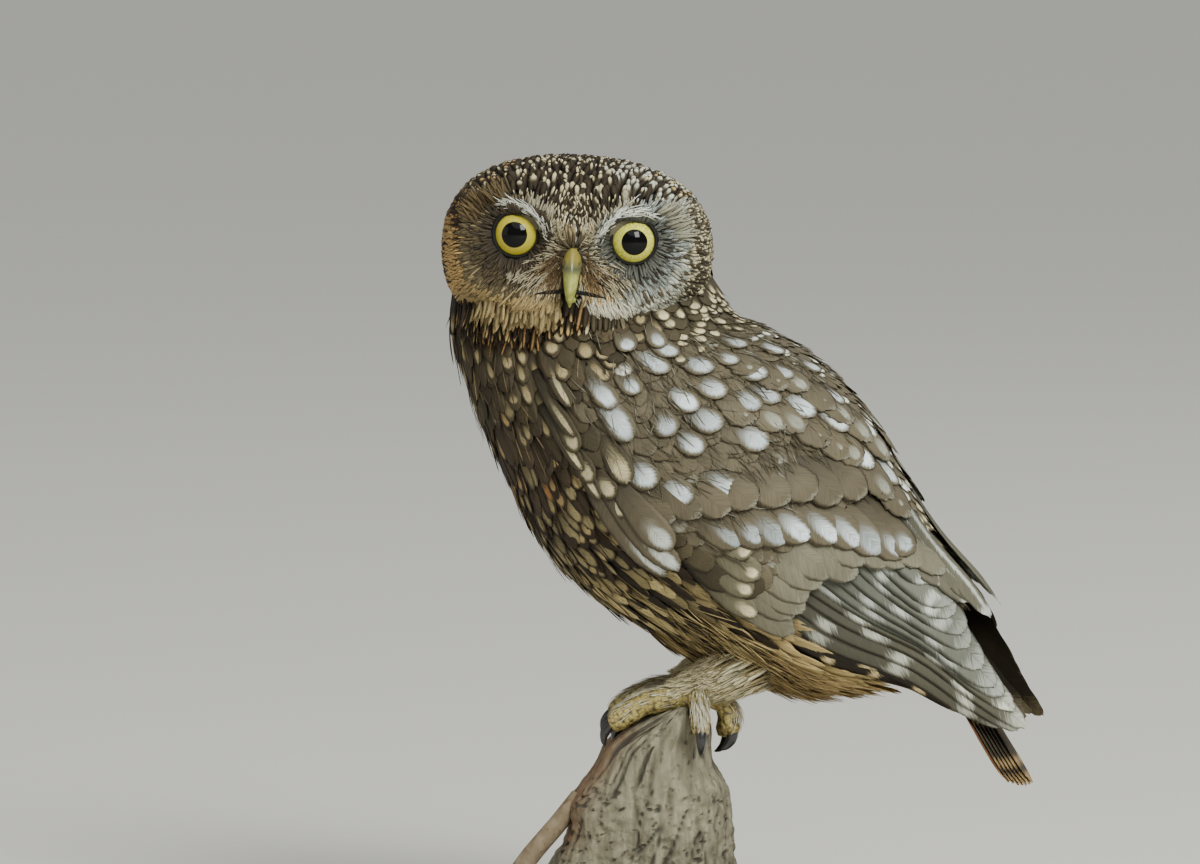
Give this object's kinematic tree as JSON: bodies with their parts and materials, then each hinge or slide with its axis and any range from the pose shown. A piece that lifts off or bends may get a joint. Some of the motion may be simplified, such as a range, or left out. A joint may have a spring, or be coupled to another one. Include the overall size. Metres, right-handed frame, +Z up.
{
  "type": "little owl on a perch",
  "caption": "Still, life-size little owl gripping the broken end of a weathered branch, its head turned to its left, on a plain display stand.",
  "frame": {"origin": "middle of the display base's underside", "axes": "+Z up, -X the way the body faces, +X to the tail, -Y the bird's left side, which the face is turned to"},
  "size_m": [0.1619, 0.096, 0.2147],
  "materials": {
    "body_plumage": "matt barred and streaked feathers, dark brown and buff",
    "head_plumage": "matt brown feathers with cream spots and pale brows",
    "wing_plumage": "matt olive-brown feathers with white spots",
    "leg_plumage": "short cream feathers",
    "toe_skin": "yellowish scaled skin with pale bristles",
    "bill_horn": "yellow-green horn",
    "eye_gloss": "glossy lemon-yellow iris with a black pupil",
    "claw_horn": "black horn",
    "perch_wood": "grey weathered, cracked wood",
    "base_wood": "dark stained hardwood",
    "rod_steel": "plain steel rod"
  },
  "bodies": {
    "root": {"torso": "body_plumage", "neck": "body_plumage", "head": "head_plumage", "bill_upper": "bill_horn", "bill_lower": "bill_horn", "eye_left": "eye_gloss", "eye_right": "eye_gloss", "wing_left": "wing_plumage", "wing_right": "wing_plumage", "tail": "wing_plumage", "leg_left": "leg_plumage", "leg_right": "leg_plumage", "foot_left": "toe_skin", "foot_right": "toe_skin", "perch": "perch_wood", "stand_base": "base_wood", "stand_rod_1": "rod_steel", "stand_rod_2": "rod_steel", "claw_left_front": "claw_horn", "claw_left_inner": "claw_horn", "claw_left_outer": "claw_horn", "claw_left_rear": "claw_horn", "claw_right_front": "claw_horn", "claw_right_inner": "claw_horn", "claw_right_outer": "claw_horn", "claw_right_rear": "claw_horn"}
  },
  "joints": []
}
